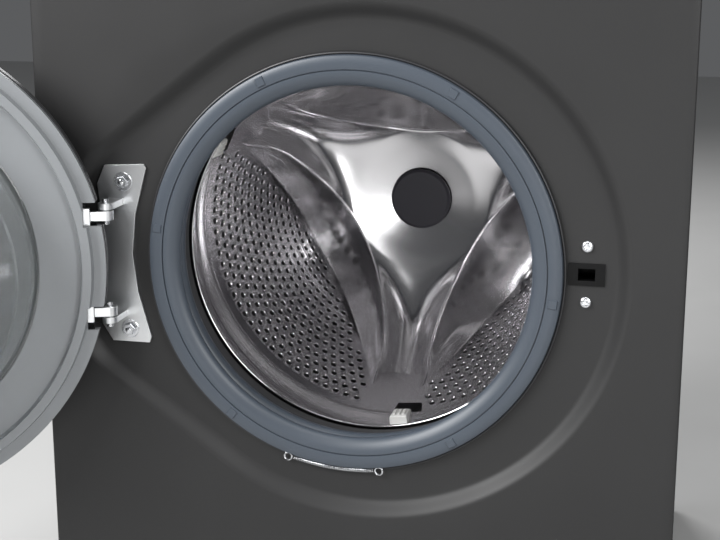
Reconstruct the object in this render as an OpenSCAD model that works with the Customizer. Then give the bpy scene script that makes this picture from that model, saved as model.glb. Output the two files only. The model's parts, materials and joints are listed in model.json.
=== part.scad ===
// Front load washing machine, built as separate pieces.
// Frame: seen from the front, +X is to the right, +Y goes into the machine and +Z is up.
// The origin is on the floor under the middle of the cabinet. Millimetres.

/* [Cabinet] */
// Width over the side panels
cab_w = 598; // [590:1:610]
// Depth from the front panel's face to the rear panel's face
cab_d = 580; // [570:1:620]
// Height to the top of the worktop
cab_h = 850; // [845:1:870]
// Thickness of the sheet steel panels
sheet_t = 1.5; // [0.8:0.1:2]
// Thickness of the worktop
worktop_t = 20; // [16:1:30]
// Height of the control panel's lower edge
control_z = 716; // [712:1:724]
// Height of the plinth's upper edge
plinth_top = 118; // [116:1:130]
// Height of the cabinet above the floor
ground_gap = 16; // [12:1:20]

/* [Door opening] */
// Height of the door's centre
door_z = 440; // [436:1:446]
// Radius of the round recess pressed in the front panel
dish_r = 232; // [230:1:234]
// Depth of that recess
dish_depth = 11; // [8:1:12]
// Radius of the hole in the front panel
mouth_r = 187; // [187:0.5:188]
// Outer radius of the seal's front ring
seal_r = 193; // [192:0.5:193.5]
// Radius of the seal's inner lip
lip_r = 165; // [164:0.5:168]

/* [Door] */
// Outer radius of the door
door_r = 226; // [222:1:227]
// How far the door stands open, from closed
door_open = 160; // [120:1:165]

/* [Wash unit] */
// Outer radius of the drum
drum_r = 204; // [200:1:206]
// Outer radius of the tub
tub_r = 226; // [224:1:230]
// Depth of the drum's cylindrical wall
drum_len = 318; // [300:1:318]
// Radius of the large pulley
pulley_r = 150; // [140:1:152]
// Radius of the motor's pulley
motor_pulley_r = 9; // [8:0.5:10]

/* [Hidden] */
$fn = 96;
fine = 160;      // facets of the large rounds
soft = 40;       // facets of the small rounds
gap = 0.3;       // clearance between faces that pass each other
bearing_gap = 0.05; // radial running clearance of shafts and pins

half_w = cab_w / 2;
front_y = -cab_d / 2;
back_y = cab_d / 2;
side_x = half_w - sheet_t;              // inner face of a side panel
worktop_z = cab_h - worktop_t;
panel_front_y = front_y;                // front face of the front panel
panel_back_y = front_y + sheet_t;
dish_y = front_y + dish_depth;          // front face of the recess floor
dish_back_y = dish_y + sheet_t;
flange_w = 18;                          // folded edges of the side panels

// Outline of the recess left of the circle, where the hinge sits; x and z from the door's centre
pocket_x = -268;
pocket_z = 60;
pocket_corner = [-247, 91.5];
pocket_tangent = [-138, 176.5];
dish_x = 14;                            // the recess's circle is this far right of the door's centre
pocket_outline = [pocket_tangent, pocket_corner, [pocket_x, pocket_z], [pocket_x, -pocket_z],
                  [pocket_corner.x, -pocket_corner.y], [pocket_tangent.x, -pocket_tangent.y]];

// Door hinge
pivot = [-226, -306];                   // the vertical hinge axis, x and y
hinge_z = door_z - 2;                   // middle of the hinge
arm_z = 45.5;                           // arms above and below it
arm_h = 9;
lug_z = 54;                             // the bracket's lugs above and below it
lug_h = 6;
hinge_pin_r = 3;
notch_x = -206;                         // the door's notches for the arms reach in to here
notch_z = [38, 60];
bolt_at = [[-218, 71], [-216, -71]];  // hinge bolts, x and z from the door's centre

// Door lock
lock_x = 213;
lock_z = 4.5;
lock_screw_pitch = 52;
slot_w = 15;
slot_h = 11;
slot_wall = 2;
hook_pin_y = -292.75;

// Control panel
control_y = front_y - 3;
drawer_x = [-290, -100];
drawer_z = [722, 826];
knob_x = -30;
knob_r = 28;
panel_mid_z = 772;
power_x = 262;
start_x = 222;
button_r = 12;
lens_x = [35, 195];
lens_z = [742, 802];

// Filter flap and pump
flap_x = [150, 264];
flap_z = [44, 112];
pump_x = 207;
pump_z = 82;
pump_r = 30;

// Feet
foot_x = 262;
foot_y = 252;
foot_pad_r = 20;
foot_pad_h = 9;
foot_stud_r = 5;
rail_w = 35;
rail_h = 24;

// Wash unit
drum_front_y = -190;
drum_back_y = drum_front_y + drum_len;
drum_t = 1.2;
tub_t = 3.5;
tub_joint_y = -58;
tub_back_y = 168;
drum_lip_r = 177;                       // the drum's mouth
star = [443, 363];                      // centre distance and radius of the three scoops in the drum's back
arm_angles = [29, 149, 269];            // the back's arms, between the scoops
mouth_y = -226;                         // front edge of the tub's mouth
boss_r = 46;
boss_end_y = 214;
shaft_front_r = 15;
shaft_rear_r = 12.5;
pulley_y = [226, 244];
motor_z = door_z - 286;
motor_r = 50;
damper_x = 150;
damper_y = 20;
spring_x = 268;
spring_y = 20;
spring_z = [562, 792];
heater_x = 25;
heater_z = -213.3;
sump_at = [185, -165];
fill_at = [-150, -90];
valve_x = -200;
valve_z = 780;
drain_x = 241;
drain_z = 690;
drain_y = [-128, 216];                  // where the drain hose climbs, at the pump and behind the tub
drain_low_z = 165;
gland_x = 190;
screw_r = 2;
cover_screw_x = 196;
cover_screw_z = [70, 355, 640];

// ---- Helpers ----

// A box between two corners
module box(a, b) translate(a) cube([b.x - a.x, b.y - a.y, b.z - a.z]);

// A cylinder along Y between y0 and y1, at x and z
module rod_y(r, y0, y1, x = 0, z = 0, fn = $fn)
    translate([x, y0, z]) rotate([-90, 0, 0]) cylinder(r = r, h = y1 - y0, $fn = fn);

// A cylinder along Z between z0 and z1
module rod_z(r, z0, z1, x = 0, y = 0, fn = $fn) translate([x, y, z0])
    cylinder(r = r, h = z1 - z0, $fn = fn);

// A tube along Y
module tube_y(ro, ri, y0, y1, x = 0, z = 0) difference() {
    rod_y(ro, y0, y1, x, z);
    rod_y(ri, y0 - 1, y1 + 1, x, z);
}

// A profile of [radius, y] points turned about the line through the door's centre
module turned(profile, fn = fine)
    translate([0, 0, door_z]) rotate([-90, 0, 0]) rotate_extrude($fn = fn) polygon(profile);

// A flat shape drawn in x and z, made solid between y0 and y1, about the door's centre
module plate_y(y0, y1, z = door_z) translate([0, y1, z]) rotate([90, 0, 0]) linear_extrude(y1 - y0)
    children();

// Both hands of a piece
module both_sides() { children(); mirror([1, 0, 0]) children(); }

// Carries a piece from the closed door to the open door
module opened() translate([pivot.x, pivot.y, 0]) rotate([0, 0, -door_open])
    translate([-pivot.x, -pivot.y, 0]) children();

// ---- Cabinet ----

module side_panel() {
    z0 = ground_gap;
    box([side_x, panel_back_y, z0], [half_w, back_y, control_z - 2]);
    box([side_x, front_y + 14.5, control_z - 3], [half_w, back_y, worktop_z]);
    box([side_x - flange_w, panel_back_y, z0], [side_x, panel_back_y + sheet_t, control_z - 14]);
    box([side_x - flange_w, back_y - 2 * sheet_t, z0], [side_x, back_y - sheet_t, worktop_z - 32]);
}
module left_side_panel() color("dimgray") mirror([1, 0, 0]) side_panel();
module right_side_panel() color("dimgray") side_panel();

service_x = 190;
service_z = [70, 640];
module rear_panel() color("silver") difference() {
    box([-side_x, back_y - sheet_t, ground_gap], [side_x, back_y, worktop_z]);
    box([-service_x, back_y - 10, service_z[0]], [service_x, back_y + 10, service_z[1]]);
    rod_y(15, back_y - 10, back_y + 10, valve_x, valve_z);
    rod_y(13, back_y - 10, back_y + 10, drain_x, drain_z);
    rod_y(9, back_y - 10, back_y + 10, gland_x, panel_mid_z);
    both_sides() for (z = cover_screw_z)
        rod_y(screw_r + 0.1, back_y - 10, back_y + 10, cover_screw_x, z, soft);
}

module rear_service_cover() color("silver") {
    lap = 12;
    rib_t = 4;
    difference() {
        box([-service_x - lap, back_y, service_z[0] - lap],
            [service_x + lap, back_y + sheet_t, service_z[1] + lap]);
        both_sides() for (z = cover_screw_z)
            rod_y(screw_r + 0.1, back_y - 1, back_y + 5, cover_screw_x, z, soft);
    }
    for (k = [0 : 3])
        box([-service_x + 40, back_y + sheet_t, 180 + k * 110],
            [service_x - 40, back_y + sheet_t + rib_t, 200 + k * 110]);
}

module dish_outline() {
    translate([dish_x, 0]) circle(r = dish_r, $fn = fine);
    polygon(pocket_outline);
}

module cover_screws() color("silver") both_sides() for (z = cover_screw_z) {
    rod_y(screw_r, back_y - 8, back_y + sheet_t + 0.5, cover_screw_x, z, soft);
    difference() {
        rod_y(4, back_y + sheet_t + 0.1, back_y + sheet_t + 2.6, cover_screw_x, z, soft);
        box([cover_screw_x - 0.5, back_y + sheet_t + 1.6, z - 3],
            [cover_screw_x + 0.5, back_y + sheet_t + 3, z + 3]);
    }
}

module front_panel() color("dimgray") {
    z0 = plinth_top + 2;
    z1 = control_z - 2;
    difference() {
        box([-half_w, panel_front_y, z0], [half_w, panel_back_y, z1]);
        plate_y(panel_front_y - 1, panel_back_y + 1) dish_outline();
    }
    // floor of the recess, with the mouth, the lock slot and the screw holes
    difference() {
        plate_y(dish_y, dish_back_y) dish_outline();
        rod_y(mouth_r, dish_y - 1, dish_back_y + 1, 0, door_z, fine);
        box([lock_x - slot_w / 2 - slot_wall - 0.2, dish_y - 1,
            door_z + lock_z - slot_h / 2 - slot_wall - 0.2],
            [lock_x + slot_w / 2 + slot_wall + 0.2, dish_back_y + 1,
                door_z + lock_z + slot_h / 2 + slot_wall + 0.2]);
        for (s = [-1, 1]) rod_y(2.6, dish_y - 1, dish_back_y + 1, lock_x,
            door_z + lock_z + s * lock_screw_pitch / 2, soft);
        for (b = bolt_at) rod_y(3.1, dish_y - 1, dish_back_y + 1, b.x, door_z + b.y, soft);
    }
    // wall of the recess
    difference() {
        plate_y(panel_front_y, dish_y) dish_outline();
        plate_y(panel_front_y - 1, dish_y + 1) {
            translate([dish_x, 0]) circle(r = dish_r - sheet_t, $fn = fine);
            polygon([for (p = pocket_outline) p * (1 - sheet_t / dish_r)]);
        }
    }
    // collar of the mouth, folded back
    turned([[mouth_r, dish_back_y], [mouth_r, dish_back_y + 10], [mouth_r + sheet_t, dish_back_y + 10],
        [mouth_r + sheet_t, dish_back_y]]);
}

module plinth_panel() color("dimgray") difference() {
    box([-half_w, front_y, ground_gap - 2], [half_w, panel_back_y, plinth_top]);
    box([flap_x[0] - 1, front_y - 1, flap_z[0] - 1], [flap_x[1] + 1, front_y + 10, flap_z[1] + 1]);
}

module base_frame() color("darkslategray") difference() {
    z1 = ground_gap + rail_h;
    web = 2;
    union() {
        difference() {
            box([-side_x, panel_back_y + 2, ground_gap], [side_x, back_y - 3.5, z1]);
            box([-foot_x, -foot_y, ground_gap - 1], [foot_x, foot_y, z1 + 1]);
        }
        both_sides() box([damper_x - 20, -foot_y, ground_gap], [damper_x + 20, foot_y, z1]);
    }
    // the rails are channels open underneath, solid only round the feet
    for (s = [-1, 1])
        box([-foot_x + 22, min(s * (foot_y + web), s * (back_y - 6)), ground_gap - 1],
            [foot_x - 22, max(s * (foot_y + web), s * (back_y - 6)), z1 - web]);
    both_sides() {
        box([foot_x + web, -foot_y + 22, ground_gap - 1], [side_x - web, foot_y - 22, z1 - web]);
        box([damper_x - 18, -foot_y + web, ground_gap - 1], [damper_x + 18, foot_y - web, z1 - web]);
    }
    both_sides() for (s = [-1, 1])
        rod_z(foot_stud_r + 0.1, ground_gap - 1, ground_gap + rail_h + 1, foot_x + 12, s * (foot_y + 14));
    // folded edges of the side panels stand in these steps
    both_sides() for (y = [panel_back_y, back_y - 4])
        box([side_x - flange_w - 0.5, y, ground_gap - 1], [side_x + 1, y + 2.2, ground_gap + rail_h + 1]);
}

module worktop() color("dimgray") {
    box([-half_w, front_y - 3, worktop_z], [half_w, back_y, cab_h]);
}

module top_crossbars() color("lightgray") {
    // front bar below the control panel, a channel open to the back
    difference() {
        box([-side_x, front_y + 4, control_z - 12], [side_x, front_y + 24, control_z - 0.5]);
        box([-side_x + 3, front_y + 6, control_z - 10], [side_x - 3, front_y + 25, control_z - 2.5]);
    }
    // rear bar, a channel open to the front
    difference() {
        box([-side_x, back_y - 40, worktop_z - 30], [side_x, back_y - 4, worktop_z]);
        box([-side_x + 3, back_y - 41, worktop_z - 28], [side_x - 3, back_y - 6, worktop_z - 2]);
    }
    // brackets that the springs hang from
    both_sides() {
        box([spring_x - 14, spring_y - 16, spring_z[1] + 3], [side_x, spring_y + 16, spring_z[1] + 6]);
        rod_y(3, spring_y - 16, spring_y + 16, spring_x, spring_z[1] + 1, soft);
    }
}

module control_panel() color([0.12, 0.12, 0.13]) difference() {
    box([-half_w, control_y, control_z], [half_w, front_y + 14, worktop_z - 0.5]);
    box([-half_w + 3, control_y + 3, control_z + 3], [half_w - 3, front_y + 15, worktop_z - 3.5]);
    box([drawer_x[0] - 1, control_y - 1, drawer_z[0] - 1],
        [drawer_x[1] + 1, front_y + 1, drawer_z[1] + 1]);
    rod_y(10, control_y - 1, front_y + 1, knob_x, panel_mid_z);
    for (x = [power_x, start_x]) rod_y(button_r + 0.4, control_y - 1, front_y + 1, x, panel_mid_z);
    box([lens_x[0], control_y - 1, lens_z[0]], [lens_x[1], front_y + 1, lens_z[1]]);
}

module display_lens() color([0.05, 0.05, 0.07])
    box([lens_x[0] + 0.2, control_y + 0.5, lens_z[0] + 0.2], [lens_x[1] - 0.2, front_y, lens_z[1] - 0.2]);

module control_board() color("darkgreen") difference() {
    union() {
        box([-62, front_y + 30, 730], [286, front_y + 33, 818]);            // board
        box([-62, front_y + 33, 726], [286, front_y + 45, 820]);            // its carrier
        box([lens_x[0] + 20, front_y + 12, lens_z[0] + 10],
            [lens_x[1] - 20, front_y + 30, lens_z[1] - 10]);
        rod_y(9, front_y + 15, front_y + 30, knob_x, panel_mid_z);          // knob encoder
        for (x = [power_x, start_x])
            box([x - 6, front_y + 14, panel_mid_z - 6], [x + 6, front_y + 30, panel_mid_z + 6]);
    }
    rod_y(4 + bearing_gap, front_y + 10, front_y + 29, knob_x, panel_mid_z);
}

module drawer_housing() color("whitesmoke") {
    wall = 2.5;
    x0 = drawer_x[0] + 2; x1 = drawer_x[1] + 2;
    z0 = drawer_z[0] + 2; z1 = worktop_z - 6;
    y0 = front_y + 17; y1 = -32;
    difference() {
        box([x0, y0, z0], [x1, y1, z1]);
        box([x0 + wall, y0 - 1, z0 + wall], [x1 - wall, y1 - wall, z1 - wall]);
        rod_z(16, z0 - 1, z0 + 5, fill_at.x, fill_at.y);
        rod_y(6, y1 - 5, y1 + 1, valve_x, valve_z);
    }
    // outlet to the tub and inlet from the valve
    difference() {
        rod_z(18, z0 - 18, z0, fill_at.x, fill_at.y);
        rod_z(16, z0 - 19, z0 + 1, fill_at.x, fill_at.y);
    }
    tube_y(7.5, 6, y1, y1 + 16, valve_x, valve_z);
}

module inlet_valve() color("white") difference() {
    union() {
        rod_y(12, back_y - 10, back_y + 2, valve_x, valve_z);
        rod_y(17, back_y + 0.2, back_y + 2, valve_x, valve_z);                // collar against the rear panel
        rod_y(13.2, back_y + 2, back_y + 18, valve_x, valve_z);               // threaded inlet
        box([valve_x - 20, back_y - 34, valve_z - 18], [valve_x + 20, back_y - 6, valve_z + 14]);
        rod_y(7.5, back_y - 62, back_y - 34, valve_x, valve_z);               // outlet
        rod_z(13, valve_z - 46, valve_z - 18, valve_x, back_y - 20);          // solenoid
    }
    rod_y(9, back_y - 20, back_y + 19, valve_x, valve_z);
    rod_y(5, back_y - 63, back_y - 10, valve_x, valve_z);
}

// Convoluted hose along Z, with ridges
module bellows_z(r, t, z0, z1, ridges) {
    pitch = (z1 - z0) / ridges;
    rotate_extrude($fn = 64) polygon(concat(
        [[r, z0]], [[r + t, z0]],
        [for (k = [0 : ridges - 1], s = [0, 1])
            [r + t + (s == 0 ? 0 : t), z0 + pitch * (k + 0.25 + 0.5 * s)]],
        [[r + t, z1]], [[r, z1]]));
}

// Quarter bend of a tube in the Y-Z plane about [y, z], starting at angle a0 from +Y towards +Z
module hose_bend(ro, ri, bend_r, x, y, z, a0) translate([x, y, z]) rotate([a0, 0, 0]) rotate([0, 90, 0])
    rotate([0, 0, 90]) rotate_extrude(angle = 90, $fn = 64) translate([bend_r, 0]) difference() {
        circle(r = ro, $fn = soft);
        circle(r = ri, $fn = soft);
    }
module drain_hose() {
    ro = 12.4;
    ri = 10.2;
    b = 30;
    difference() {
        rod_z(ro, 122, drain_low_z - b, drain_x, drain_y[0]);
        rod_z(ri, 121, drain_low_z - b + 1, drain_x, drain_y[0]);
    }
    hose_bend(ro, ri, b, drain_x, drain_y[0] + b, drain_low_z - b, 90);
    tube_y(ro, ri, drain_y[0] + b, drain_y[1] - b, drain_x, drain_low_z);
    hose_bend(ro, ri, b, drain_x, drain_y[1] - b, drain_low_z + b, 270);
    difference() {
        rod_z(ro, drain_low_z + b, drain_z - b, drain_x, drain_y[1]);
        rod_z(ri, drain_low_z + b - 1, drain_z - b + 1, drain_x, drain_y[1]);
    }
    hose_bend(ro, ri, b, drain_x, drain_y[1] + b, drain_z - b, 90);
    tube_y(ro, ri, drain_y[1] + b, back_y - 14, drain_x, drain_z);
}
module internal_hoses() color([0.15, 0.15, 0.15]) {
    drain_hose();
    translate([fill_at.x, fill_at.y, 0]) bellows_z(18.2, 2, 632, 714, 8);
    translate([sump_at.x, sump_at.y, 0]) bellows_z(18.2, 2, 116, 274, 14);
    tube_y(9.5, 7.7, -26, back_y - 48, valve_x, valve_z);
}

// ---- Front seal, hinge and lock ----

seal_profile = [
    [seal_r, dish_y - 0.2], [seal_r, dish_y - 5], [seal_r - 3, dish_y - 8], [181.5, dish_y - 8.5],
    [179.5, dish_y - 6.5], [177.5, dish_y - 8.2], [lip_r + 4, dish_y - 5], [lip_r, dish_y - 0.5],
    [lip_r + 0.3, dish_y + 5], [lip_r + 4, dish_y + 5], [lip_r + 7.5, dish_y], [182.8, dish_y - 2],
    [182.8, -262], [172, -251.5], [172, -244], [184.2, -228], [184.2, -214], [187.2, -214],
    [187.2, -230], [175.6, -245.5], [175.6, -249.5], [186.6, -260.5], [186.6, dish_y - 0.2]];
module door_gasket() color([0.45, 0.5, 0.56]) turned(seal_profile);

clamp_ring_r = seal_r + 1.3;
clamp_wire_r = 1.1;
clamp_y = dish_y - 2.5;
spring_arc = [252, 278];                 // the clamp's spring, as angles round the mouth
module ring_arc(r, wire_r, y, a0, a1) translate([0, y, door_z]) rotate([-90, 0, 0])
    rotate([0, 0, -a1]) rotate_extrude(angle = a1 - a0, $fn = fine) translate([r, 0])
        circle(r = wire_r, $fn = 24);
module gasket_clamp() color("silver") {
    ring_arc(clamp_ring_r, clamp_wire_r, clamp_y, spring_arc[1], spring_arc[0] + 360);
    ring_arc(clamp_ring_r + 1.2, 1.9, clamp_y, spring_arc[0] + 0.8, spring_arc[1] - 0.8);
    for (a = spring_arc) translate([0, clamp_y, door_z]) rotate([0, -a, 0])
        translate([clamp_ring_r + 3.2, 0, 0])
        rotate([-90, 0, 0]) rotate_extrude($fn = soft) translate([3.2, 0]) circle(r = 0.9, $fn = 16);
}

module hinge_bracket() color("silver") {
    y0 = dish_y - 3;
    difference() {
        union() {
            plate_y(y0, dish_y - 0.2) polygon([[-244, 68], [-236, 86], [-197, 88], [-195, 84], [-207, 40],
                [-211, 2], [-207, -34], [-195, -78], [-197, -84], [-234, -84], [-244, -68], [-238, -20],
                    [-238, 20]]);
            for (s = [-1, 1]) {
                box([pivot.x - 7, pivot.y, hinge_z + s * lug_z - lug_h / 2],
                    [pivot.x + 7, y0, hinge_z + s * lug_z + lug_h / 2]);
                rod_z(7, hinge_z + s * lug_z - lug_h / 2, hinge_z + s * lug_z + lug_h / 2, pivot.x,
                    pivot.y, soft);
            }
        }
        for (s = [-1, 1]) rod_z(hinge_pin_r + 0.02, hinge_z + s * lug_z - 5, hinge_z + s * lug_z + 5,
            pivot.x, pivot.y, soft);
        for (b = bolt_at) rod_y(3.1, y0 - 1, dish_y + 1, b.x, door_z + b.y, soft);
    }
}

module hinge_fasteners() color("silver") {
    y0 = dish_y - 3;
    for (b = bolt_at) {
        rod_y(7.5, y0 - 1.2, y0, b.x, door_z + b.y, soft);
        translate([b.x, y0 - 5, door_z + b.y]) rotate([-90, 0, 0]) cylinder(r = 5.8, h = 3.8, $fn = 6);
        rod_y(3, y0, dish_back_y + 12, b.x, door_z + b.y, soft);
    }
    for (s = [-1, 1]) {
        z_in = hinge_z + s * (arm_z - arm_h / 2 - 1);
        z_out = hinge_z + s * (lug_z + lug_h / 2 + 1);
        rod_z(hinge_pin_r, min(z_in, z_out), max(z_in, z_out), pivot.x, pivot.y, soft);
    }
}

module door_lock() color([0.08, 0.08, 0.08]) difference() {
    union() {
        box([lock_x - 23, dish_back_y + 0.2, door_z + lock_z - 34],
            [lock_x + 25, -240, door_z + lock_z + 34]);
        // bezel that shows round the slot, and the collar that joins it to the lock
        box([lock_x - 16, dish_y - 1.5, door_z + lock_z - 10],
            [lock_x + 16, dish_y - 0.1, door_z + lock_z + 10]);
        box([lock_x - slot_w / 2 - slot_wall, dish_y - 1, door_z + lock_z - slot_h / 2 - slot_wall],
            [lock_x + slot_w / 2 + slot_wall, dish_back_y + 1, door_z + lock_z + slot_h / 2 + slot_wall]);
    }
    box([lock_x - slot_w / 2, dish_y - 3, door_z + lock_z - slot_h / 2],
        [lock_x + slot_w / 2, -250, door_z + lock_z + slot_h / 2]);
    box([lock_x - 9, -272, door_z + lock_z - slot_h / 2 - 1],
        [lock_x + 11, -250, door_z + lock_z + slot_h / 2 + 1]);
    // way of the locking slide
    box([lock_x + 13, -268, door_z + lock_z - 20], [lock_x + 19.2, -256, door_z + lock_z + 26]);
    for (s = [-1, 1]) rod_y(2.5, dish_back_y, -255, lock_x, door_z + lock_z + s * lock_screw_pitch / 2,
        soft);
}

module lock_slide() color("orangered")
    box([lock_x + 13.4, -267.6, door_z + lock_z - 18], [lock_x + 18.8, -256.4, door_z + lock_z + 14]);

module lock_screws() color("silver") for (s = [-1, 1]) {
    z = door_z + lock_z + s * lock_screw_pitch / 2;
    difference() {
        rod_y(5.2, dish_y - 2.8, dish_y - 0.1, lock_x, z, soft);
        translate([lock_x, dish_y - 4, z]) rotate([-90, 0, 0]) cylinder(r = 2, h = 3, $fn = 6);
    }
    rod_y(2.45, dish_y - 0.5, -258, lock_x, z, soft);
}

// ---- Door, drawn closed and carried open ----

module hinge_notches() for (s = [-1, 1])
    box([-260, -345, hinge_z + min(s * notch_z[0], s * notch_z[1])],
        [notch_x, -270, hinge_z + max(s * notch_z[0], s * notch_z[1])]);

door_front_y = -331;
door_mid_y = -300;
module door_outer_ring() color([0.16, 0.16, 0.17]) opened() difference() {
    turned([[door_r, door_mid_y], [door_r, -312], [216, -326], [196, door_front_y], [160, door_front_y],
        [152, -327],
            [152, -322], [158, -322], [160, -325], [196, -326], [212, -321], [220, -309],
                [220, door_mid_y]]);
    hinge_notches();
    // finger recess behind the rim, on the lock's side
    box([216, -318, door_z - 60], [240, -299, door_z + 60]);
}
module door_inner_ring() color([0.55, 0.55, 0.56]) opened() {
    difference() {
        turned([[225, door_mid_y + 0.2], [225, -291], [214, -291], [212, -284], [204, -284], [202, -291],
                [165, -291], [165, -294.5], [221, -294.5], [221, door_mid_y + 0.2]]);
        hinge_notches();
        box([lock_x - 6, -300, door_z + lock_z - 5], [lock_x + 3.5, -280, door_z + lock_z + 5]);
    }
    rod_z(1.55, door_z + lock_z - 8, door_z + lock_z + 8, lock_x, hook_pin_y, soft);
}
module door_cover() color([0.1, 0.1, 0.12, 0.6]) opened()
    turned([[0, -325], [120, -323.5], [151, -321.6], [158, -321.5], [158, -318.5], [150, -318.5],
        [120, -320.5], [0, -322]]);
module door_glass() color([0.8, 0.85, 0.9, 0.4]) opened()
    turned([[178, -300], [178, -295], [163, -295], [160, -280], [150, -252], [134, -228], [112, -215],
        [60, -210],
            [0, -209], [0, -213], [60, -214], [110, -219], [130, -231], [146, -254], [156, -281],
                [158, -300]]);
module door_hinge_arms() color("silver") opened() for (s = [-1, 1]) difference() {
    z0 = hinge_z + s * arm_z - arm_h / 2;
    union() {
        rod_z(7, z0, z0 + arm_h, pivot.x, pivot.y, soft);
        box([pivot.x, -303, z0], [-196, -299, z0 + arm_h]);
        box([-212, -299, z0 - 4], [-184, -294.6, z0 + arm_h + 4]);
    }
    rod_z(hinge_pin_r + bearing_gap, z0 - 1, z0 + arm_h + 1, pivot.x, pivot.y, soft);
}
module door_hook() color("silver") opened() {
    z0 = door_z + lock_z - 3.5;
    difference() {
        union() {
            rod_z(3.2, z0, z0 + 7, lock_x, hook_pin_y, soft);
            box([lock_x - 3, hook_pin_y, z0], [lock_x + 2, -262, z0 + 7]);
            translate([0, 0, z0]) linear_extrude(7)
                polygon([[lock_x + 2, -268], [lock_x + 4.5, -268], [lock_x + 1, -259],
                    [lock_x - 3, -259], [lock_x - 3, -262]]);
        }
        rod_z(1.6, z0 - 1, z0 + 8, lock_x, hook_pin_y, soft);
    }
}

// ---- Drawer and controls ----

module drawer_tray() color("whitesmoke") {
    x0 = drawer_x[0] + 7; x1 = drawer_x[1] - 3;
    z0 = drawer_z[0] + 8; z1 = drawer_z[1] - 16;
    y0 = front_y + 14; y1 = -52;
    wall = 2;
    third = (x1 - x0) / 3;
    difference() {
        box([x0, y0, z0], [x1, y1, z1]);
        for (k = [0 : 2])
            box([x0 + third * k + wall, y0 + wall, z0 + wall],
                [x0 + third * (k + 1) - (k == 2 ? wall : 0), y1 - wall, z1 + 1]);
    }
}
module drawer_front() color([0.12, 0.12, 0.13]) difference() {
    box([drawer_x[0], control_y, drawer_z[0]], [drawer_x[1], front_y + 14, drawer_z[1]]);
    // finger pocket
    box([-240, control_y - 1, drawer_z[0] + 6], [-150, control_y + 12, drawer_z[0] + 36]);
}
module programme_knob() color("silver") {
    difference() {
        union() {
            rod_y(knob_r, control_y - 22, control_y - 0.4, knob_x, panel_mid_z);
            rod_y(4, control_y - 0.4, front_y + 28, knob_x, panel_mid_z, soft);
        }
        box([knob_x - 1, control_y - 24, panel_mid_z + 12],
            [knob_x + 1, control_y - 20.5, panel_mid_z + 26]);
    }
}
module push_button(x) {
    rod_y(button_r, control_y - 1.5, front_y + 3, x, panel_mid_z);
    rod_y(4, front_y + 3, front_y + 11, x, panel_mid_z, soft);
}
module power_button() color("silver") push_button(power_x);
module start_button() color("silver") push_button(start_x);

// ---- Bottom fittings ----

module filter_flap() color("dimgray") {
    difference() {
        box([flap_x[0], front_y - 0.5, flap_z[0]], [flap_x[1], front_y + 2, flap_z[1]]);
        box([flap_x[0] + 35, front_y - 1, flap_z[1] - 8], [flap_x[1] - 35, front_y + 1, flap_z[1] + 1]);
    }
    for (x = [flap_x[0] + 12, flap_x[1] - 18])
        box([x, front_y + 2, flap_z[0]], [x + 6, front_y + 6, flap_z[0] + 8]);
}

module pump_filter() color("whitesmoke") {
    difference() {
        rod_y(29, front_y + 12, front_y + 24, pump_x, pump_z);
        rod_y(24, front_y + 11, front_y + 20, pump_x, pump_z);
    }
    box([pump_x - 22, front_y + 13, pump_z - 4], [pump_x + 22, front_y + 20, pump_z + 4]);
    tube_y(24, 21.5, front_y + 24, -204, pump_x, pump_z);
}
module drain_pump() color([0.2, 0.2, 0.22]) difference() {
    union() {
        rod_y(pump_r, front_y + 25, -150, pump_x, pump_z);
        rod_y(25, -150, -92, pump_x, pump_z);
        rod_z(18, pump_z - 4, 128, sump_at.x, sump_at.y);
        box([pump_x - 34, front_y + 26, ground_gap + rail_h], [pump_x + 34, -150, pump_z - 24]);
        box([pump_x, -150, pump_z - 12], [drain_x + 12, drain_y[0] + 12, pump_z + 12]);
        rod_z(10, pump_z, 134, drain_x, drain_y[0]);
    }
    rod_y(24.5, front_y + 24, -190, pump_x, pump_z);
    rod_z(15, pump_z, 129, sump_at.x, sump_at.y);
    rod_y(20, -191, -156, pump_x, pump_z);
    rod_z(8, pump_z - 5, 143, drain_x, drain_y[0]);
}
module pump_impeller() color("white") {
    rod_y(6, -186, -158, pump_x, pump_z, soft);
    for (a = [0 : 60 : 300]) translate([pump_x, 0, pump_z]) rotate([0, a, 0])
        box([0, -178, -1], [18, -160, 1]);
}

module foot(x, y) color([0.2, 0.2, 0.2]) {
    rod_z(foot_pad_r, 0, foot_pad_h, x, y);
    translate([x, y, foot_pad_h]) cylinder(r = 8, h = 5, $fn = 6);
    rod_z(foot_stud_r, foot_pad_h, 54, x, y, soft);
}
foot_stud_x = foot_x + 12;
foot_stud_y = foot_y + 14;
module foot_front_left() foot(-foot_stud_x, -foot_stud_y);
module foot_front_right() foot(foot_stud_x, -foot_stud_y);
module rear_feet() both_sides() foot(foot_stud_x, foot_stud_y);

module mains_gland() color([0.1, 0.1, 0.1]) difference() {
    union() {
        rod_y(8.8, back_y - 12, back_y + 2, gland_x, panel_mid_z);
        translate([gland_x, back_y, panel_mid_z]) rotate([-90, 0, 0]) cylinder(r = 13, h = 6, $fn = 6);
        rod_y(8, back_y + 6, back_y + 16, gland_x, panel_mid_z);
        translate([gland_x, back_y - 8, panel_mid_z]) rotate([-90, 0, 0])
            cylinder(r = 13, h = 6, $fn = 6);
    }
    rod_y(4, back_y - 13, back_y + 17, gland_x, panel_mid_z);
}
module drain_connector() color([0.3, 0.3, 0.3]) difference() {
    union() {
        rod_y(12.8, back_y - 8, back_y + 2, drain_x, drain_z);
        rod_y(10, back_y - 30, back_y - 8, drain_x, drain_z);
        rod_y(18, back_y, back_y + 5, drain_x, drain_z);
        rod_y(10, back_y + 5, back_y + 30, drain_x, drain_z);
        rod_y(18, back_y - 6, back_y - 1.6, drain_x, drain_z);
    }
    rod_y(8, back_y - 31, back_y + 31, drain_x, drain_z);
}

// ---- Suspension ----

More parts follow.
